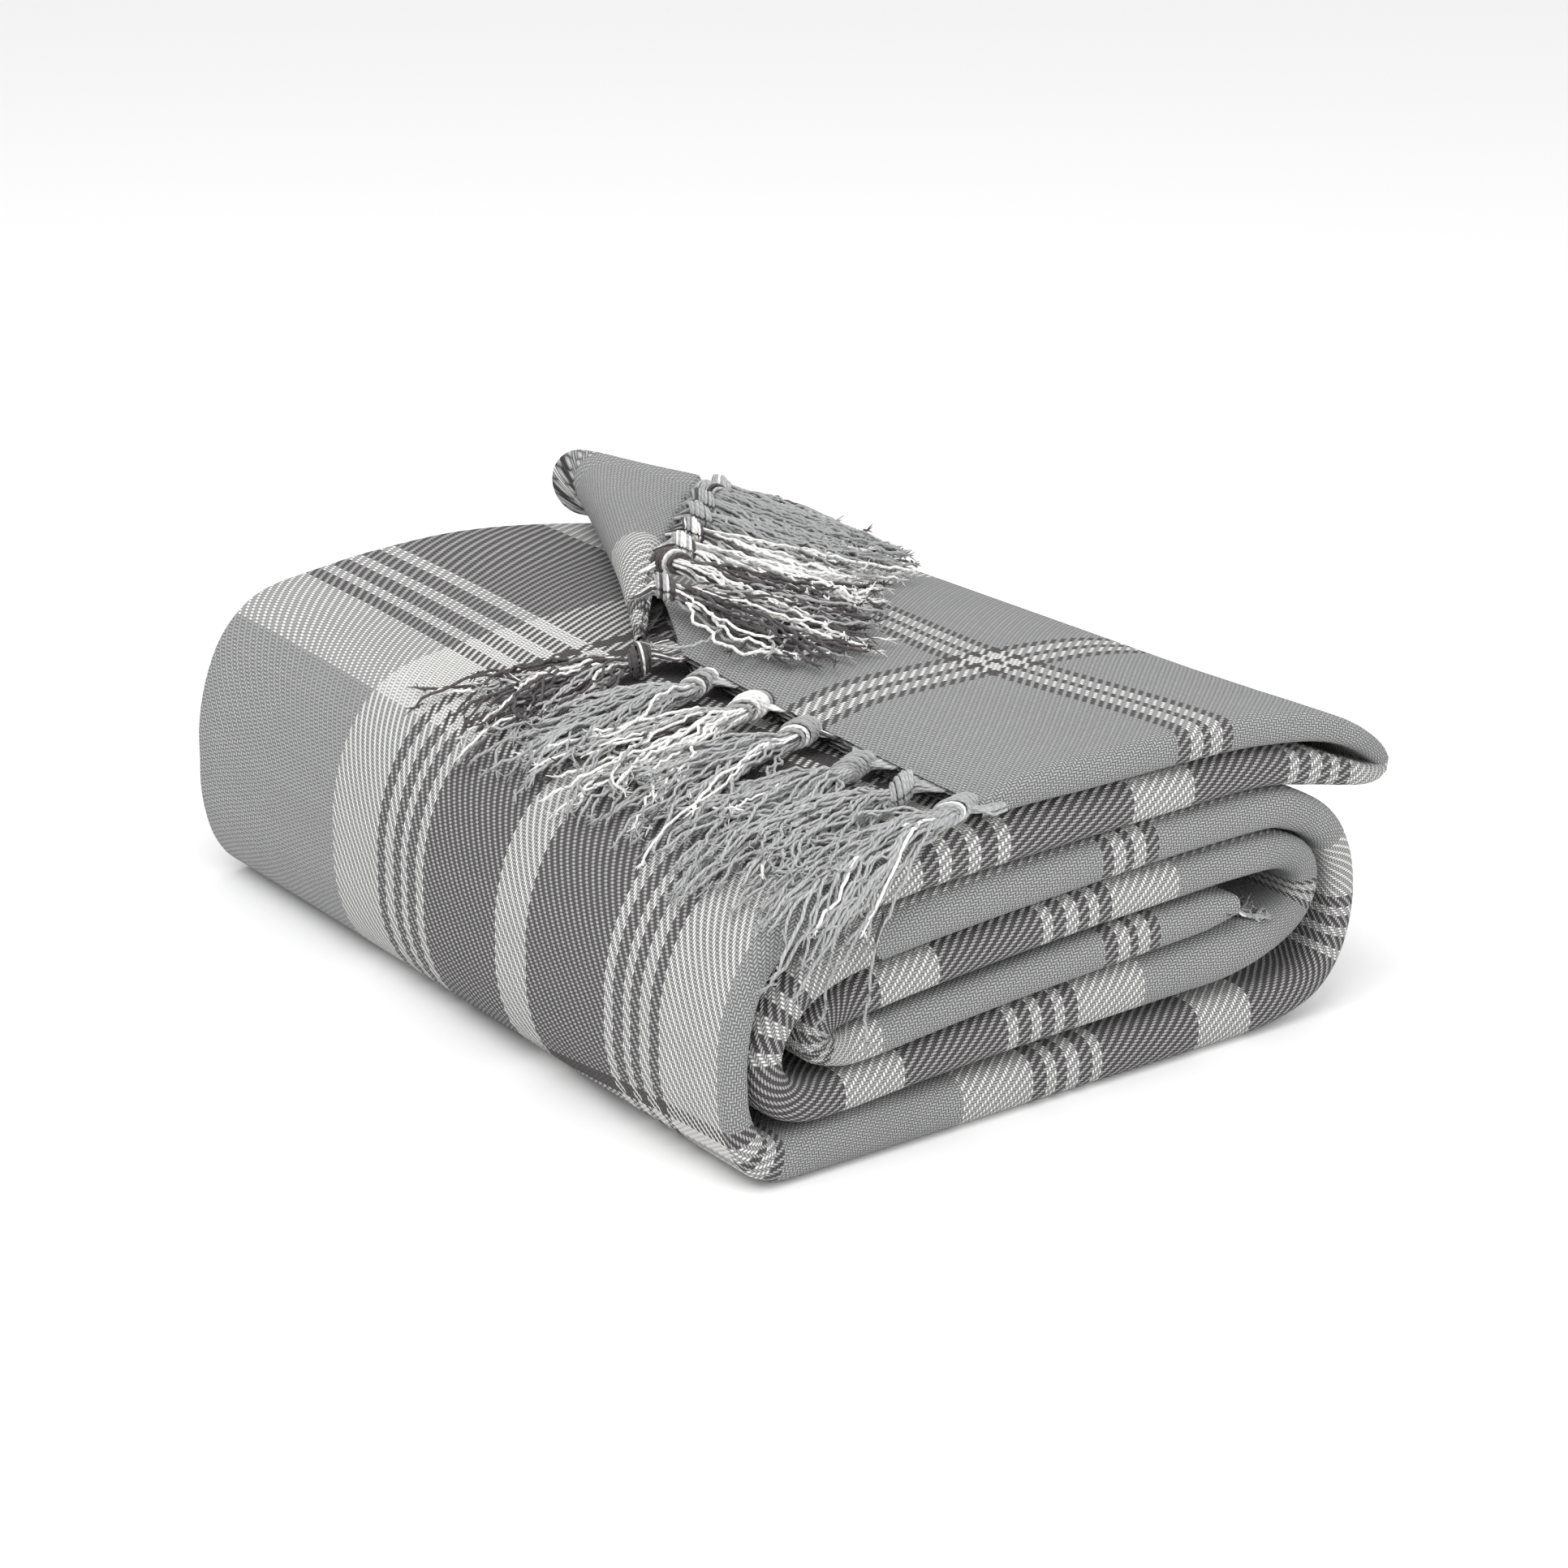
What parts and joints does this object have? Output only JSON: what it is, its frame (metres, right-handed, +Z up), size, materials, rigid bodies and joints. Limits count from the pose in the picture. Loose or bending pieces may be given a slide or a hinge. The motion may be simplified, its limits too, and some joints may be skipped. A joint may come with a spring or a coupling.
{
  "type": "folded throw blanket",
  "caption": "Woven plaid throw folded to a quarter of its width and rolled flat, with a loose top flap, one turned-back corner and knotted fringe tassels.",
  "frame": {"origin": "on the surface the stack rests on, under the middle of its bounding box", "axes": "+X along the end face from the round left wrap to the tip fold, +Y back along the long side, +Z up"},
  "size_m": [0.256, 0.338, 0.1302],
  "materials": {
    "weave_plaid": "matt cotton twill, grey, white and charcoal plaid",
    "weave_top": "matt cotton twill, plain grey with a thin dark and white check line",
    "weave_corner": "matt cotton twill, reverse side",
    "yarn_grey": "matt plied cotton yarn, grey",
    "yarn_dark": "matt plied cotton yarn, charcoal",
    "yarn_white": "matt plied cotton yarn, off white"
  },
  "bodies": {
    "stack": {"tip_fold": "weave_top", "upper_layer": "weave_plaid", "outer_wrap": "weave_plaid", "base_layer": "weave_plaid", "right_outer_fold": "weave_plaid", "second_layer": "weave_plaid", "left_middle_fold": "weave_plaid", "fifth_layer": "weave_plaid", "right_inner_fold": "weave_plaid", "third_layer": "weave_plaid", "left_inner_fold": "weave_plaid", "fourth_layer": "weave_plaid", "fringe_inner_01": "yarn_grey", "fringe_inner_02": "yarn_grey", "fringe_inner_03": "yarn_grey", "fringe_inner_04": "yarn_grey", "fringe_inner_05": "yarn_grey", "fringe_inner_06": "yarn_grey", "fringe_inner_07": "yarn_grey", "fringe_inner_08": "yarn_grey", "fringe_inner_09": "yarn_grey", "fringe_inner_10": "yarn_grey", "fringe_inner_11": "yarn_grey", "fringe_inner_12": "yarn_grey", "fringe_inner_13": "yarn_grey"},
    "flap": {"flap_panel": "weave_top", "fringe_near_01": "yarn_grey", "fringe_near_02": "yarn_grey", "fringe_near_03": "yarn_grey", "fringe_near_04": "yarn_grey", "fringe_near_05": "yarn_white", "fringe_near_06": "yarn_grey", "fringe_near_07": "yarn_dark"},
    "corner": {"turned_back_corner": "weave_corner", "fringe_turned_01": "yarn_dark", "fringe_turned_02": "yarn_dark", "fringe_turned_03": "yarn_white", "fringe_turned_04": "yarn_white", "fringe_turned_05": "yarn_grey", "fringe_turned_06": "yarn_grey", "fringe_turned_07": "yarn_grey", "fringe_turned_08": "yarn_grey"}
  },
  "joints": [
    {"name": "flap_open", "type": "hinge", "parent": "stack", "child": "flap", "pos_m": [0.10953, 0.00385, 0.096], "axis": [0, 0.9999, -0.0102], "range_deg": [0, 160]},
    {"name": "corner_turn", "type": "hinge", "parent": "flap", "child": "corner", "pos_m": [-0.00147, 0.09285, 0.1193], "axis": [-0.4399, -0.8981, -0.0037], "range_deg": [0, 150]}
  ]
}
